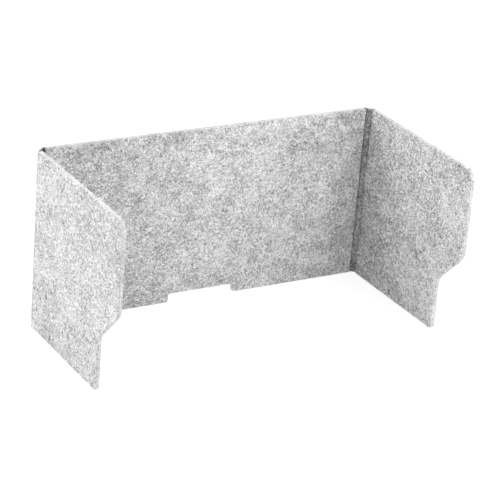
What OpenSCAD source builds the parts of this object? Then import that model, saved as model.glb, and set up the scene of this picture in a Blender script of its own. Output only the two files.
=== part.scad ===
// Free-standing desk screen of light grey felt: a back panel between two wings.
// It is made in two layers. Thick inner boards stop short of the two folds, and a thin outer
// facing alone runs through them. There it bends round the corner as a web, so that each wing
// folds flat on the back panel or opens out in line with it.
// Lengths are in millimetres. X runs along the back panel, Y from front to back and Z up.
// The origin is on the desk, at the middle of the screen's width and depth.

/* [Screen] */
// Clear width between the inner faces of the wings
clear_width = 1000; // [1000:10:1600]
// Clear depth from the back panel's inner face to the wings' front edges, at most half the width
clear_depth = 499; // [380:1:499]
// Height of the screen
screen_height = 500; // [400:10:700]

/* [Felt] */
// Thickness of the inner boards
board_t = 9; // [6:0.5:15]
// Thickness of the outer facing, which is also the web in the folds
facing_t = 3; // [2:0.25:4]

/* [Wing outline] */
// Distance of the foot's front edge behind the wing's front edge
foot_setback = 100; // [60:5:160]
// Height of the foot's straight front edge, up to the inner corner of the step
foot_height = 150; // [90:5:170]
// Height at which the sloped step reaches the wing's front edge
step_height = 250; // [230:5:320]
// Radius of the upper front corner
top_corner_r = 35; // [5:1:70]
// Radius of the corner where the slope meets the front edge
step_corner_r = 45; // [5:1:60]
// Radius of the inner corner where the foot meets the slope
step_fillet_r = 40; // [3:1:50]
// Radius of the foot's lower front corner
foot_corner_r = 12; // [3:1:40]

/* [Cable notch] */
// Width of the notch in the back panel's bottom edge
notch_width = 200; // [80:5:400]
// Height of the notch
notch_height = 25; // [20:1:60]
// Radius of the notch's upper corners
notch_corner_r = 7; // [2:0.5:9]
// Radius of the corners at the notch's mouth
notch_mouth_r = 8; // [2:0.5:9]

/* [Hidden] */
$fn = 96;

// Turn of a fold's web when the wing stands square to the back panel, and when it lies flat on it
rest_turn = 90;
flat_turn = 180;

// Thickness of a whole panel
panel_t = board_t + facing_t;
// Lying flat, the web wraps half round both panels' thickness, so at rest it bends twice as wide
fold_outer_r = panel_t * flat_turn / rest_turn;
fold_inner_r = fold_outer_r - facing_t;
// Distance from the corner of the inner faces back to each panel's end at the fold
fold_setback = fold_outer_r - panel_t;

// The back panel's inner face, and the centre of the right fold's bend
back_face_y = (clear_depth + panel_t) / 2 - panel_t;
fold_x = clear_width / 2 - fold_setback;
fold_y = back_face_y - fold_setback;

// Lengths of a wing and of its foot, from the wing's end at the fold to the front edges
wing_len = clear_depth - fold_setback;
foot_len = wing_len - foot_setback;

board_grey = [0.80, 0.80, 0.80];
facing_grey = [0.74, 0.74, 0.74];

// Geometry of one corner of an outline whose points go anticlockwise
function unit(v) = v / norm(v);
function to_last(p, i) = unit(p[(i + len(p) - 1) % len(p)] - p[i]);
function to_next(p, i) = unit(p[(i + 1) % len(p)] - p[i]);
function is_convex(p, i) = cross(to_last(p, i), to_next(p, i)) < 0;
function half_angle(p, i) = acos(to_last(p, i) * to_next(p, i)) / 2;
function tangent_len(p, i, r) = r / tan(half_angle(p, i));
function arc_centre(p, i, r) =
    p[i] + unit(to_last(p, i) + to_next(p, i)) * r / sin(half_angle(p, i));
function corner_points(p, i, r) =
    r == 0
        ? [p[i]]
        : [for (side = [to_last(p, i), to_next(p, i)]) p[i] + side * tangent_len(p, i, r)];

// A disc in each rounded corner that is convex, or in each that isn't
module corner_discs(points, radii, convex) {
    for (i = [0:len(points) - 1])
        if (radii[i] > 0 && is_convex(points, i) == convex)
            translate(arc_centre(points, i, radii[i]))
                circle(r = radii[i]);
}

// An outline with every corner rounded to its own radius, where zero leaves it square
module rounded_outline(points, radii) {
    difference() {
        union() {
            polygon([
                for (i = [0:len(points) - 1])
                    each corner_points(points, i, radii[i])
            ]);
            corner_discs(points, radii, true);
        }
        corner_discs(points, radii, false);
    }
}

// The back panel seen from the front, with the cable notch in its bottom edge
module back_outline() {
    side = notch_width / 2;
    rounded_outline(
        [
            [-fold_x, 0], [-side, 0], [-side, notch_height], [side, notch_height],
            [side, 0], [fold_x, 0], [fold_x, screen_height], [-fold_x, screen_height]
        ],
        [0, notch_mouth_r, notch_corner_r, notch_corner_r, notch_mouth_r, 0, 0, 0]
    );
}

// A wing seen from its side, with its end at the fold at zero and its front edge at the right
module wing_outline() {
    rounded_outline(
        [
            [0, 0], [foot_len, 0], [foot_len, foot_height],
            [wing_len, step_height], [wing_len, screen_height], [0, screen_height]
        ],
        [0, foot_corner_r, step_fillet_r, step_corner_r, top_corner_r, 0]
    );
}

// One layer of the back panel, whose outer face lies the given depth behind the inner face
module back_layer(outer, thickness) {
    translate([0, back_face_y + outer, 0])
        rotate([90, 0, 0])
            linear_extrude(thickness)
                back_outline();
}

// One layer of the right wing, whose outer face lies the given depth outside the inner face
module wing_layer(outer, thickness) {
    translate([clear_width / 2 + outer, fold_y, 0])
        rotate([90, 0, -90])
            linear_extrude(thickness)
                wing_outline();
}

module back_board() {
    color(board_grey)
        back_layer(board_t, board_t);
}

module back_facing() {
    color(facing_grey)
        back_layer(panel_t, facing_t);
}

module right_wing_board() {
    color(board_grey)
        wing_layer(board_t, board_t);
}

module right_wing_facing() {
    color(facing_grey)
        wing_layer(panel_t, facing_t);
}

// The stretch of facing that bends round the corner, from the wing's end to the back panel's
module right_fold_web() {
    color(facing_grey)
        translate([fold_x, fold_y, 0])
            rotate_extrude(angle = rest_turn)
                translate([fold_inner_r, 0])
                    square([facing_t, screen_height]);
}

module left_wing_board() {
    mirror([1, 0, 0])
        right_wing_board();
}

module left_wing_facing() {
    mirror([1, 0, 0])
        right_wing_facing();
}

module left_fold_web() {
    mirror([1, 0, 0])
        right_fold_web();
}

back_board();
back_facing();
left_wing_board();
left_wing_facing();
left_fold_web();
right_wing_board();
right_wing_facing();
right_fold_web();
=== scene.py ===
import math

import bmesh
import bpy
import numpy as np
from mathutils import Matrix, Vector, noise
from mathutils.geometry import delaunay_2d_cdt


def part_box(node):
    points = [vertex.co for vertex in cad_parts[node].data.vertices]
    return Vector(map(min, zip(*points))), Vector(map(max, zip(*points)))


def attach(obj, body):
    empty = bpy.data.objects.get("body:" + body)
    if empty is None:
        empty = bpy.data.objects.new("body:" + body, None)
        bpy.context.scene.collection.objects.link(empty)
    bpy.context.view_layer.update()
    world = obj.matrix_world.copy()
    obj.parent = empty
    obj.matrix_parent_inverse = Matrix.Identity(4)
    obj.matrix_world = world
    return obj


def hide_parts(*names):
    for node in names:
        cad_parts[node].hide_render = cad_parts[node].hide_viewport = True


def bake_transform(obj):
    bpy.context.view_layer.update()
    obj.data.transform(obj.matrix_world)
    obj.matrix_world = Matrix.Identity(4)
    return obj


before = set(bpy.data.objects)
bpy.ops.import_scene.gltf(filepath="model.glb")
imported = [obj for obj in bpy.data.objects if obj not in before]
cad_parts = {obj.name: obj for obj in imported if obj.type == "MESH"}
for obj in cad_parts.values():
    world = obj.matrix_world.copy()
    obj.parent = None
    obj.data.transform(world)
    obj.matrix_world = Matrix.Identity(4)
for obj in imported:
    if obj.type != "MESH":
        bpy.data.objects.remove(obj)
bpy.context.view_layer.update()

SEED = 7
noise.seed_set(SEED)  # noise_vector draws on it

MM = 0.001  # a millimetre in metres

# Form of the felt, in metres
GRID = 6 * MM  # spacing of the faces' points
OUTLINE_STEP = 4 * MM  # spacing of the points along an outline
WALL_STEP = 2.2 * MM  # spacing of the rings on the wall of a free edge
EDGE_ROUND = 2.6 * MM  # rounding of the free edges
FOLD_EDGE_ROUND = 1.6 * MM  # rounding of a board's inner edge at a fold
SEAM_ROUND = 0.35 * MM  # rounding of a board's edge where it meets its facing
EDGE_RINGS = 5  # steps in which a free edge is rounded
WAVE, WAVE_SCALE = 0.35 * MM, 45 * MM  # slow unevenness of the faces
FUZZ, FUZZ_SCALE = 0.3 * MM, 7 * MM  # short unevenness, which shows at the edges
FUZZ_SHIFT = Vector((7.3, 1.9, 4.1))  # where the short unevenness lies in the noise
WEB_SEGMENTS = 32  # steps in which a web bends
WEB_SAG = 2 * MM  # how far a web's top edge is drawn down in the middle of its bend
WEB_SWELL = 4 * MM  # how far the squeezed felt stands inwards in the middle of a web's bend

# How a face is covered with triangles, as shares of GRID: the height of its rows of points, the
# first point's place in every other row, and the least distance of a point from the outline
ROW_HEIGHT, ROW_STARTS, CLEARANCE = 0.866, (0.25, 0.75), 0.6

LEAST_STEP = 0.2  # share of a step under which two points of an outline count as one
NEARLY_STRAIGHT = 0.05  # sine of a corner's turn under which it counts as straight
ON_FLOOR = 0.1 * MM  # height up to which the felt lies flat on the floor
IN_PLANE, AT_FOLD = 1e-6, 1e-5  # distance up to which a point counts as in a plane, or at a fold
INSIDE_ONLY, CDT_EPSILON = 1, 1e-7  # the triangulation's mode, and what it counts as one point

# Painted shade and light, and lighter cut edges: the share by which the felt is darker or lighter
# at a place, and how far that reaches
GROOVE_SHADE, CREASE_SHADE = 0.18, 0.30  # painted shade inside a fold, in the middle of its bend and in its creases
END_SHADE, GROOVE_LIP = 0.60, 3 * MM  # painted shade on a board's end deep in a fold, and the depth that takes to build up
WING_FOLD_SHADE, WING_FOLD_REACH = 0.05, 70 * MM  # painted shade on a wing's inner face, beside its fold
WING_FRONT_PAINTED_LIGHT, WING_FRONT_REACH = 0.06, 35 * MM  # painted light on a wing's inner face, towards its front
BACK_END_PAINTED_LIGHT, BACK_END_REACH = 0.13, 20 * MM  # painted light on the back's inner face, beside the right fold
FOOT_SHADE, FOOT_REACH = 0.05, 30 * MM  # painted shade on the outer sheet, towards its foot
CUT_LIGHTER = 0.075  # a cut edge, with its loose fibres
LEFT_TOP_HIGHLIGHT = 0.06  # painted highlight on the left wing's top edge, on top of what it has as a cut edge
FACE_CUT = 0.25  # how far the felt counts as cut where a face turns into its edge

# Painted shade in patches on the back's inner face, at its foot and near the right fold's top:
# each one's middle, its reach and its share
SHADE_PATCHES = ((Vector((-0.24, 0.02)), 170 * MM, 0.07), (Vector((0.40, 0.48)), 120 * MM, 0.075))

# Slow cloudiness of the felt: the clouds' size, how light or dark they get, and which stretch
# of the noise they take, counted in steps of CLOUD_STEP
CLOUDS = {
    "back_board": ((360 * MM, 0.08, 336), (140 * MM, 0.052, 1231), (160 * MM, 0.044, 5379)),
    "wing_board": ((280 * MM, 0.127, 535), (140 * MM, 0.057, 330), (300 * MM, 0.067, 1600)),
    "sheet": ((280 * MM, 0.07, 180), (140 * MM, 0.029, 1026), (160 * MM, 0.024, 5557)),
}
CLOUD_STEP = Vector((1.37, 2.11, 0.73))

# Kinds of felt: the mean grey, as a screen shows it, and the strength of the fine and broad mottle
FACING_FELT = (0.784, 1.42, 0.78)
BOARD_FELT = (0.782, 1.16, 1.1)
# Painted light: the boards' felt again, with a stronger mottle and a lighter grey for the grazing
# light on the wings
WING_BOARD_GRAZING_LIT_FELT = (0.794, 1.64, 1.05)

# Mottle of the felt: its strength, its scale per metre, its detail, and its place in the noise
NOISE_MEAN = 0.5
ORIGIN, FINEST_SCALE, FINEST_AT = (0.0, 0.0, 0.0), 330.0, (0.4, 3.1, 0.7)
BROAD_MOTTLE = ((0.32, 9.0, 1.0, ORIGIN), (0.46, 26.0, 2.0, ORIGIN))
FINE_MOTTLE = ((0.44, 90.0, 1.0, (2.2, 0.4, 1.3)), (1.15, FINEST_SCALE, 1.0, FINEST_AT))
CUT_CALM = 0.65  # share of its mottle that a cut edge lacks
DARKEST, LIGHTEST, SCREEN_GAMMA = 0.05, 0.99, 2.2

# Fibres of the felt, in metres and radians
CURL, CURL_SCALE, CURL_DETAIL = 10 * MM, 60.0, 1.0  # how the fibres curl out of line
FIBRE_LENGTH, FIBRE_WIDTH = 14 * MM, 3.6 * MM
FIBRE_THIN = 0.06  # share of the noise that makes a line
FIBRE_SHADE = 0.19  # how much lighter or darker than the rest the fibres are
LIGHT_FIBRES = (11.0, (0.3, 1.35, 2.4))  # their seed and their directions
DARK_FIBRES = (31.0, (0.85, 1.9, 2.95))
FIBRE_SHIFT_UP, FIBRE_SHIFT_THROUGH = 2.3, 0.7  # where a seed puts them in the noise

# Relief and gloss of the felt
BUMP_STRENGTH, BUMP_DEPTH = 0.8, 0.7 * MM
BUMP_LIGHT, BUMP_DARK = 0.3, -0.2  # height of the light and the dark fibres
BUMP_GRAIN = (0.8, FINEST_SCALE, 2.0, FINEST_AT)  # the same four values as a mottle's
ROUGHNESS, FIBRE_ROUGHNESS = 0.9, 0.04
SPECULAR, SHEEN, SHEEN_ROUGHNESS = 0.25, 0.12, 0.6

# The floor gives light back by its full grey. The camera sees a fainter grey over a glow, so the
# floor looks nearly white and keeps the shadow.
FLOOR_HALF, FLOOR_DROP = 6.0, 0.5 * MM
FLOOR_BOUNCE, FLOOR_FAINT, FLOOR_GLOW = 0.85, 0.30, 0.82

# Light, in metres, watts and degrees
WORLD_LEVEL, BACKDROP_LEVEL = 0.66, 1.0  # what lights the scene, and what the camera sees
LAMPS = {  # azimuth, elevation and power
    "key_lamp": (30, 50, 45.0),
    "side_lamp": (-110, 22, 50.0),
    "fill_lamp": (50, 22, 16.0),
    "top_lamp": (0, 89, 8.0),
}
LAMP_SIZE, LAMP_REACH, LAMP_AIM = 1.5, 3.6, Vector((0.0, 0.0, 0.2))
WHITE = (1.0, 1.0, 1.0, 1.0)

# The camera is solved from the straight edges in the photograph
CAMERA_AT = (-2.640431, -4.347108, 2.464324)
CAMERA_RIGHT = (0.868886, -0.489173, 0.075806)
CAMERA_UP = (0.136265, 0.383585, 0.913397)
CAMERA_BACK = (-0.475887, -0.783308, 0.399949)
CAMERA_LENS, SENSOR = 152.093, 36.0  # in millimetres
CLIP_START, CLIP_END = 0.05, 50.0


# Where the felt is

left_end, right_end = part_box("back_board")[0].x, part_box("back_board")[1].x
wing_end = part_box("right_wing_board")[1].y
fold_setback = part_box("back_board")[0].y - wing_end
fold_length = math.pi / 2 * (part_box("back_facing")[1].y - wing_end)


def both_at(end, a, b):
    """Whether the points a and b of an outline lie at its end, where x is the way along it."""
    return abs(a.x - end) < AT_FOLD and abs(b.x - end) < AT_FOLD


def at_back_fold(a, b):
    return both_at(left_end, a, b) or both_at(right_end, a, b)


def at_wing_fold(a, b):
    return both_at(wing_end, a, b)


def unevenness(p):
    """How far the felt stands out of its true place at the point p.

    It is one field for all pieces, so the seams stay shut.
    """
    slow = noise.noise_vector(p / WAVE_SCALE)
    fine = noise.noise_vector(p / FUZZ_SCALE + FUZZ_SHIFT)
    return slow * WAVE + fine * FUZZ


def laid_flat(p):
    """Where the point p lies in the felt before it is folded: along it, up it and through it."""
    across, behind = abs(p.x) - right_end, p.y - wing_end
    if across <= 0:
        along, through = abs(p.x), behind
    elif behind <= 0:
        along, through = right_end + fold_length - behind, across
    else:
        along = right_end + fold_length * (1 - math.atan2(behind, across) / (math.pi / 2))
        through = math.hypot(across, behind)
    return math.copysign(along, p.x), p.z, through - fold_setback


def cloudiness(p, kind):
    """How much darker the felt of a kind is at the point p, which may be less than nothing."""
    return -sum(
        depth * noise.noise(p / size + CLOUD_STEP * stretch)
        for size, depth, stretch in CLOUDS[kind]
    )


def nearness(distance, reach):
    """1 at no distance, falling evenly to 0 at the reach and beyond."""
    return max(0.0, 1 - distance / reach)


# Form of the felt


def put_in_scene(name, data):
    made = bpy.data.objects.new(name, data)
    bpy.context.scene.collection.objects.link(made)
    return made


def turn_faces_outwards(data):
    bm = bmesh.new()
    bm.from_mesh(data)
    bmesh.ops.recalc_face_normals(bm, faces=bm.faces)
    bm.to_mesh(data)
    bm.free()


class Mesh:
    """Points and faces of one closed piece.

    For each point it also keeps how far the felt is cut there, and how much darker it is, by
    random clouds and by painted shade and light.
    """

    def __init__(self):
        self.points, self.cut, self.darker, self.faces = [], [], [], []

    def add(self, point, cut, darker):
        self.points.append(Vector(point))
        self.cut.append(cut)
        self.darker.append(darker)
        return len(self.points) - 1

    def ring(self, points, cut, darker):
        return [self.add(p, cut, d) for p, d in zip(points, darker)]

    def bridge(self, a, b):
        for i in range(len(a)):
            j = (i + 1) % len(a)
            self.faces.append((a[i], a[j], b[j], b[i]))

    def build(self, name):
        felt_at = np.array([laid_flat(p) for p in self.points], np.float32)
        moved = [p + unevenness(p) for p in self.points]
        for m, p in zip(moved, self.points):
            m.z = max(m.z, 0.0) if p.z > ON_FLOOR else 0.0
        data = bpy.data.meshes.new(name)
        data.from_pydata(moved, [], self.faces)
        data.update()
        place = data.attributes.new("felt_at", "FLOAT_VECTOR", "POINT")
        place.data.foreach_set("vector", felt_at.ravel())
        for key, values in (("cut_edge", self.cut), ("darker", self.darker)):
            made = data.attributes.new(key, "FLOAT", "POINT")
            made.data.foreach_set("value", np.array(values, np.float32))
        turn_faces_outwards(data)
        data.polygons.foreach_set("use_smooth", [True] * len(data.polygons))
        return put_in_scene(name, data)


def face_outline(node, axis, at_low):
    """The outline of a CAD node's flat face across axis, as points (u, v) that go anticlockwise."""
    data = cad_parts[node].data
    low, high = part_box(node)
    plane = (low if at_low else high)[axis]
    u, v = [i for i in range(3) if i != axis]
    border = set()
    for face in data.polygons:
        corners = [data.vertices[i].co for i in face.vertices]
        if any(abs(c[axis] - plane) > IN_PLANE for c in corners):
            continue
        keys = [(round(c[u], 6), round(c[v], 6)) for c in corners]
        for a, b in zip(keys, keys[1:] + keys[:1]):
            if (b, a) in border:
                border.remove((b, a))
            elif a != b:
                border.add((a, b))
    follow = dict(border)
    start = min(follow)
    outline, here = [start], follow[start]
    while here != start:
        outline.append(here)
        here = follow[here]
    area = sum(a[0] * b[1] - b[0] * a[1] for a, b in zip(outline, outline[1:] + outline[:1]))
    return outline if area > 0 else outline[::-1]


def resample(outline):
    """The outline with its long edges cut into steps and without points that all but coincide."""
    dense = []
    for a, b in zip(outline, outline[1:] + outline[:1]):
        a, b = Vector(a), Vector(b)
        pieces = max(1, round((b - a).length / OUTLINE_STEP))
        dense += [a.lerp(b, i / pieces) for i in range(pieces)]
    kept = [dense[0]]
    for p in dense[1:]:
        if (p - kept[-1]).length > OUTLINE_STEP * LEAST_STEP:
            kept.append(p)
    return kept


def insets(outline, distance):
    """For each point the vector that sets it in from both of its edges.

    Distance(a, b) says how far it goes in from the edge from a to b.
    """
    found = []
    for i, here in enumerate(outline):
        before, after = outline[i - 1], outline[(i + 1) % len(outline)]
        d1, d2 = distance(before, here), distance(here, after)
        e1, e2 = (here - before).normalized(), (after - here).normalized()
        n1, n2 = Vector((-e1.y, e1.x)), Vector((-e2.y, e2.x))
        det = n1.x * n2.y - n1.y * n2.x
        if abs(det) < NEARLY_STRAIGHT:
            found.append((n1 + n2).normalized() * (d1 + d2) / 2)
        else:
            found.append(Vector(((d1 * n2.y - d2 * n1.y) / det, (n1.x * d2 - n2.x * d1) / det)))
    return found


def grid_inside(outline):
    """The points of a regular grid that lie inside an outline and clear of it."""
    edge = np.array(outline)
    following = np.roll(edge, -1, axis=0)
    way = following - edge
    low, high = edge.min(axis=0), edge.max(axis=0)
    found = []
    for j in range(int((high[1] - low[1]) / (GRID * ROW_HEIGHT)) + 1):
        y = low[1] + (j + 0.5) * GRID * ROW_HEIGHT
        xs = np.arange(low[0] + GRID * ROW_STARTS[j % 2], high[0], GRID)
        q = np.stack([xs, np.full(len(xs), y)], 1)[:, None, :]
        t = np.clip(((q - edge) * way).sum(2) / (way * way).sum(1), 0, 1)
        gap = np.sqrt((((edge + t[..., None] * way) - q) ** 2).sum(2)).min(1)
        crosses = (edge[:, 1] > y) != (following[:, 1] > y)
        at = edge[crosses, 0] + (y - edge[crosses, 1]) / way[crosses, 1] * way[crosses, 0]
        inside = ((at[None, :] > xs[:, None]).sum(1) % 2) == 1
        found += [Vector((x, y)) for x in xs[inside & (gap > GRID * CLEARANCE)]]
    return found


def fill(mesh, ring, flat, inner, lift, darkness):
    """Covers the flat region inside a ring with triangles that also use the points of inner."""
    n = len(flat)
    made, _, faces, origins, _, _ = delaunay_2d_cdt(
        flat + inner, [], [list(range(n))], INSIDE_ONLY, CDT_EPSILON
    )
    number = {}
    for i, source in enumerate(origins):
        if source and source[0] < n:
            number[i] = ring[source[0]]
        else:
            at = lift(made[i])
            number[i] = mesh.add(at, 0.0, darkness(at))
    mesh.faces += [tuple(number[i] for i in f) for f in faces]


def panel(node, axis, outward, is_fold):
    """One felt layer in the place of a CAD node.

    Its thickness goes along axis, and outward is the way from the screen's inside to its outside.
    A board is open to view on its inner face, and a facing on its outer one; is_fold(a, b) tells
    whether an edge of its outline lies in a fold.
    """
    is_board = node.endswith("board")
    felt_kind = "sheet"
    if is_board:
        felt_kind = "back_board" if node == "back_board" else "wing_board"
    low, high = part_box(node)
    thickness = high[axis] - low[axis]
    inner_face = low[axis] if outward > 0 else high[axis]
    outline = resample(face_outline(node, axis, outward > 0))
    u, v = [i for i in range(3) if i != axis]

    def lift(p, depth):
        q = [0.0, 0.0, 0.0]
        q[u], q[v], q[axis] = p.x, p.y, inner_face + outward * depth
        return Vector(q)

    def darkness(p):
        # Random clouds, with painted shade near a wing's fold, in the back's patches and at a
        # sheet's foot, and painted light towards a wing's front and beside the back's right end
        if felt_kind == "wing_board":
            more = WING_FOLD_SHADE * nearness(wing_end - p.y, WING_FOLD_REACH)
            more -= WING_FRONT_PAINTED_LIGHT * nearness(p.y - low.y, WING_FRONT_REACH)
        elif felt_kind == "back_board":
            more = sum(
                share * nearness((p.xz - middle).length, reach) for middle, reach, share in SHADE_PATCHES
            )
            more -= BACK_END_PAINTED_LIGHT * nearness(right_end - p.x, BACK_END_REACH)
        else:
            more = FOOT_SHADE * nearness(p.z, FOOT_REACH)
        return cloudiness(p, felt_kind) + more

    def inset_by(rounding, fold_rounding):
        return insets(outline, lambda a, b: fold_rounding if is_fold(a, b) else rounding)

    seen = inset_by(EDGE_ROUND, FOLD_EDGE_ROUND if is_board else 0.0)
    hidden = inset_by(SEAM_ROUND, SEAM_ROUND if is_board else 0.0)

    # Rings from the face in view to the hidden one: inset, share of it, depth, how far it is cut
    rings = []
    for k in range(EDGE_RINGS + 1):
        angle = math.pi / 2 * (1 - k / EDGE_RINGS)
        depth = EDGE_ROUND * (1 - math.sin(angle))
        rings.append((seen, 1 - math.cos(angle), depth, min(1.0, FACE_CUT + depth / EDGE_ROUND)))
    walls = max(2, round((thickness - EDGE_ROUND) / WALL_STEP))
    for depth in np.linspace(EDGE_ROUND, thickness - SEAM_ROUND, walls + 1)[1:]:
        rings.append((seen, 0.0, depth, 1.0))
    rings.append((hidden, 1.0, thickness, 1.0))

    mesh = Mesh()
    before, after = outline[-1:] + outline[:-1], outline[1:] + outline[:1]
    at_fold = [is_fold(a, p) or is_fold(p, b) for a, p, b in zip(before, outline, after)]
    made = []
    for inset, share, depth, cut in rings:
        at = depth if is_board else thickness - depth
        flat = [p + d * share for p, d in zip(outline, inset)]
        placed = [lift(p, at) for p in flat]
        # Painted shade on a board's end deep in a fold
        end_shade = END_SHADE * min(1.0, depth / GROOVE_LIP)
        # Painted highlight on the left wing's top edge
        lighter = LEFT_TOP_HIGHLIGHT * cut if node.startswith("left") else 0.0
        darker = [
            darkness(p) * (1 - cut) + end_shade * f - lighter * (p.z > high.z - EDGE_ROUND)
            for f, p in zip(at_fold, placed)
        ]
        made.append((mesh.ring(placed, cut, darker), flat, at))
    for (a, _, _), (b, _, _) in zip(made, made[1:]):
        mesh.bridge(a, b)
    ring, flat, at = made[0]
    fill(mesh, ring, flat, grid_inside(flat), lambda p: lift(p, at), darkness)
    ring, flat, at = made[-1]
    fill(mesh, ring, flat, [], lambda p: lift(p, at), darkness)
    return mesh.build(f"{node}_felt")


def web(node, side):
    """The stretch of facing that bends round a corner, with the facings' section at its ends."""
    low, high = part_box(node)
    facing_low, facing_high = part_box("back_facing")
    outer = high.y - low.y
    inner = outer - (facing_high.y - facing_low.y)
    centre_x, centre_y = low.x if side > 0 else high.x, low.y
    top = high.z

    # The section, once round: radius, height, how far it is cut, whether it is inside the fold
    rounded = []
    for k in range(EDGE_RINGS, -1, -1):
        angle = math.pi / 2 * k / EDGE_RINGS
        z = EDGE_ROUND * (1 - math.sin(angle))
        rounded.append((outer - EDGE_ROUND * (1 - math.cos(angle)), z, 1 - z / EDGE_ROUND))
    rows = max(2, round(top / GRID))
    straight = top - 2 * EDGE_ROUND
    section = [(r, z, cut, False) for r, z, cut in rounded]
    section += [(outer, EDGE_ROUND + straight * i / rows, 0.0, False) for i in range(1, rows)]
    section += [(r, top - z, cut, False) for r, z, cut in reversed(rounded)]
    section += [(inner, top * i / rows, 0.0, True) for i in range(rows, -1, -1)]

    mesh = Mesh()
    rings = []
    for s in range(WEB_SEGMENTS + 1):
        angle = math.pi / 2 * s / WEB_SEGMENTS
        middle = math.sin(2 * angle)
        height = 1 - WEB_SAG * middle / top
        # Painted shade inside the fold, deeper in its creases than in the middle of its bend
        groove_shade = CREASE_SHADE + (GROOVE_SHADE - CREASE_SHADE) * middle
        ring = []
        for r, z, cut, inside in section:
            r -= WEB_SWELL * middle * inside
            x, y = centre_x + side * r * math.cos(angle), centre_y + r * math.sin(angle)
            at = Vector((x, y, z * height))
            # Painted highlight on the left fold's top edge
            lighter = LEFT_TOP_HIGHLIGHT * cut * (side < 0 and z > top / 2)
            # Random clouds, and painted shade towards the foot
            tone_and_foot_shade = cloudiness(at, "sheet") + FOOT_SHADE * nearness(z, FOOT_REACH)
            darker = groove_shade * inside + tone_and_foot_shade * (1 - cut) - lighter
            ring.append(mesh.add(at, cut, darker))
        rings.append(ring)
    for a, b in zip(rings, rings[1:]):
        mesh.bridge(a, b)
    for ring in (rings[0], rings[-1]):
        mesh.faces.append(tuple(ring))
    return mesh.build(f"{node}_felt")


# Felt material


class Nodes:
    """Short ways to put shader nodes together."""

    def __init__(self, owner):
        owner.use_nodes = True
        self.tree = owner.node_tree
        self.tree.nodes.clear()

    def new(self, kind, inputs=None, **settings):
        made = self.tree.nodes.new(kind)
        for key, value in settings.items():
            setattr(made, key, value)
        for key, value in (inputs or {}).items():
            if isinstance(value, bpy.types.NodeSocket):
                self.tree.links.new(value, made.inputs[key])
            else:
                made.inputs[key].default_value = value
        return made

    def math(self, operation, a, b=0.0, clamp=False):
        made = self.new("ShaderNodeMath", {0: a, 1: b}, operation=operation, use_clamp=clamp)
        return made.outputs[0]

    def vector(self, operation, a, b):
        return self.new("ShaderNodeVectorMath", {0: a, 1: b}, operation=operation).outputs[0]

    def attribute(self, name, output):
        return self.new("ShaderNodeAttribute", attribute_name=name).outputs[output]

    def noise(self, at, scale, detail, shift=ORIGIN):
        inputs = {"Vector": self.vector("ADD", at, shift), "Scale": scale, "Detail": detail}
        return self.new("ShaderNodeTexNoise", inputs, noise_dimensions="3D")

    def centred(self, at, amount, scale, detail, shift):
        """A noise about zero that reaches about amount either way."""
        value = self.noise(at, scale, detail, shift).outputs["Fac"]
        return self.math("MULTIPLY", self.math("SUBTRACT", value, NOISE_MEAN), amount)

    def fibres(self, at, seed, angles):
        """Thin lines at about these angles to the felt's long side: 1 on a line, 0 away from it."""
        drawn_out = (1 / FIBRE_LENGTH, 1 / FIBRE_WIDTH, 1 / FIBRE_WIDTH)
        found = []
        for angle in angles:
            place = {"Vector": at, "Angle": angle}
            turned = self.new("ShaderNodeVectorRotate", place, rotation_type="Z_AXIS").outputs[0]
            drawn = self.vector("MULTIPLY", turned, drawn_out)
            along = seed + angle
            shift = (along, FIBRE_SHIFT_UP * along, FIBRE_SHIFT_THROUGH)
            stroke = self.noise(drawn, 1.0, 0.0, shift).outputs["Fac"]
            away = self.math("ABSOLUTE", self.math("SUBTRACT", stroke, NOISE_MEAN))
            away = self.math("DIVIDE", away, FIBRE_THIN)
            found.append(self.math("SUBTRACT", 1.0, away, clamp=True))
        return self.total(*found)

    def total(self, first, *others):
        for value in others:
            first = self.math("ADD", first, value)
        return first

    def looked_at(self):
        """1 for what the camera sees, also in a reflection or through glass, and 0 for light."""
        path = self.new("ShaderNodeLightPath").outputs
        mirrored = self.math("MAXIMUM", path["Is Glossy Ray"], path["Is Transmission Ray"])
        return self.math("MAXIMUM", path["Is Camera Ray"], mirrored)

    def mix(self, share, first, second):
        inputs = {"Fac": share, 1: first, 2: second}
        return self.new("ShaderNodeMixShader", inputs).outputs["Shader"]


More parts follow.
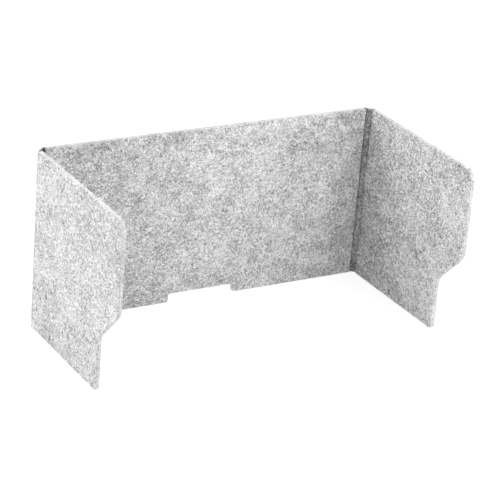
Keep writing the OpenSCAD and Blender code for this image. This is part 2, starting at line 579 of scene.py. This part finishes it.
def felt(name, tone, contrast, clouds):
    """Pressed felt of mixed light and darker grey fibres.

    Tone is its mean grey, and contrast and clouds are the strength of its fine and broad mottle.
    """
    material = bpy.data.materials.new(name)
    n = Nodes(material)
    place = n.attribute("felt_at", "Vector")
    warp = n.noise(place, CURL_SCALE, CURL_DETAIL).outputs["Color"]
    warp = n.vector("SUBTRACT", warp, (NOISE_MEAN, NOISE_MEAN, NOISE_MEAN))
    curled = n.vector("ADD", place, n.vector("MULTIPLY", warp, (CURL, CURL, CURL)))
    light, dark = n.fibres(curled, *LIGHT_FIBRES), n.fibres(curled, *DARK_FIBRES)
    broad = (n.centred(place, amount * clouds, *rest) for amount, *rest in BROAD_MOTTLE)
    fine = (n.centred(curled, amount * contrast, *rest) for amount, *rest in FINE_MOTTLE)
    lines = n.math("MULTIPLY", n.math("SUBTRACT", light, dark), FIBRE_SHADE * contrast)
    mottle = n.total(*broad, *fine, lines)

    cut, darker = n.attribute("cut_edge", "Fac"), n.attribute("darker", "Fac")
    calm = n.math("SUBTRACT", 1.0, n.math("MULTIPLY", cut, CUT_CALM))
    shade = n.math("ADD", n.math("MULTIPLY", mottle, calm), 1.0)
    # The clouds, and the painted shade and light, from the darker attribute
    shade = n.math("MULTIPLY", shade, n.math("SUBTRACT", 1.0, darker))
    shade = n.math("MULTIPLY", shade, n.math("ADD", 1.0, n.math("MULTIPLY", cut, CUT_LIGHTER)))
    shade = n.math("MULTIPLY", shade, tone)
    shade = n.math("MAXIMUM", n.math("MINIMUM", shade, LIGHTEST), DARKEST)
    grey = n.math("POWER", shade, SCREEN_GAMMA)
    colour = n.new("ShaderNodeCombineColor", {"Red": grey, "Green": grey, "Blue": grey})

    height = n.total(
        n.math("MULTIPLY", light, BUMP_LIGHT),
        n.math("MULTIPLY", dark, BUMP_DARK),
        n.centred(curled, *BUMP_GRAIN),
    )
    relief = {"Height": height, "Strength": BUMP_STRENGTH, "Distance": BUMP_DEPTH}
    rough = n.math("MULTIPLY", n.math("SUBTRACT", dark, light), FIBRE_ROUGHNESS)
    shader = n.new("ShaderNodeBsdfPrincipled", {
        "Base Color": colour.outputs["Color"],
        "Roughness": n.math("ADD", rough, ROUGHNESS),
        "Normal": n.new("ShaderNodeBump", relief).outputs["Normal"],
        "Specular IOR Level": SPECULAR,
        "Sheen Weight": SHEEN,
        "Sheen Roughness": SHEEN_ROUGHNESS,
    })
    n.new("ShaderNodeOutputMaterial", {"Surface": shader.outputs["BSDF"]})
    return material


# Pieces

facing_felt = felt("facing_felt", *FACING_FELT)
board_felt = felt("board_felt", *BOARD_FELT)
# Painted grazing light on the wing boards' felt
wing_board_grazing_lit_felt = felt("wing_board_grazing_lit_felt", *WING_BOARD_GRAZING_LIT_FELT)


def dress(node, body, material, axis, outward, is_fold):
    """Puts a felt layer in the place of a CAD node, which moves with a body."""
    piece = panel(node, axis, outward, is_fold)
    piece.data.materials.append(material)
    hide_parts(node)
    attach(piece, body)


dress("back_board", "back", board_felt, 1, 1, at_back_fold)
dress("back_facing", "back", facing_felt, 1, 1, at_back_fold)

for side, name in ((-1, "left"), (1, "right")):
    wing = f"{name}_wing"
    dress(f"{wing}_board", wing, wing_board_grazing_lit_felt, 0, side, at_wing_fold)
    dress(f"{wing}_facing", wing, facing_felt, 0, side, at_wing_fold)
    node = f"{name}_fold_web"
    bend = web(node, side)
    bend.data.materials.append(facing_felt)
    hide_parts(node)
    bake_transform(bend)


# Floor, light and camera


def make_floor():
    a = FLOOR_HALF
    data = bpy.data.meshes.new("floor")
    data.from_pydata([(-a, -a, 0), (a, -a, 0), (a, a, 0), (-a, a, 0)], [], [(0, 1, 2, 3)])
    floor = put_in_scene("floor", data)
    floor.location.z = -FLOOR_DROP
    material = bpy.data.materials.new("floor_paint")
    data.materials.append(material)
    n = Nodes(material)

    def matt(grey):
        return n.new("ShaderNodeBsdfDiffuse", {"Color": (grey, grey, grey, 1.0)}).outputs["BSDF"]

    glow = n.new("ShaderNodeEmission", {"Color": WHITE, "Strength": FLOOR_GLOW}).outputs["Emission"]
    shown = n.new("ShaderNodeAddShader", {0: matt(FLOOR_FAINT), 1: glow}).outputs["Shader"]
    mixed = n.mix(n.looked_at(), matt(FLOOR_BOUNCE), shown)
    n.new("ShaderNodeOutputMaterial", {"Surface": mixed})


def make_world():
    world = bpy.data.worlds.new("studio")
    bpy.context.scene.world = world
    n = Nodes(world)

    def sky(level):
        inputs = {"Color": WHITE, "Strength": level}
        return n.new("ShaderNodeBackground", inputs).outputs["Background"]

    mixed = n.mix(n.looked_at(), sky(WORLD_LEVEL), sky(BACKDROP_LEVEL))
    n.new("ShaderNodeOutputWorld", {"Surface": mixed})


def make_lamp(name, azimuth, elevation, power):
    a, e = math.radians(azimuth), math.radians(elevation)
    way = Vector((math.sin(a) * math.cos(e), -math.cos(a) * math.cos(e), math.sin(e)))
    at = way * LAMP_REACH + LAMP_AIM
    data = bpy.data.lights.new(name, "AREA")
    data.shape = "DISK"
    data.size = LAMP_SIZE
    data.energy = power
    lamp = put_in_scene(name, data)
    lamp.location = at
    lamp.rotation_mode = "QUATERNION"
    lamp.rotation_quaternion = (LAMP_AIM - at).to_track_quat("-Z", "Y")
    lamp.visible_camera = False


def make_camera():
    data = bpy.data.cameras.new("camera")
    data.sensor_width = SENSOR
    data.lens = CAMERA_LENS
    data.clip_start, data.clip_end = CLIP_START, CLIP_END
    camera = put_in_scene("camera", data)
    turn = Matrix((CAMERA_RIGHT, CAMERA_UP, CAMERA_BACK)).transposed().to_4x4()
    camera.matrix_world = Matrix.Translation(CAMERA_AT) @ turn
    bpy.context.scene.camera = camera


make_floor()
make_world()
for lamp_name, settings in LAMPS.items():
    make_lamp(lamp_name, *settings)
make_camera()
bpy.context.scene.view_settings.view_transform = "Standard"
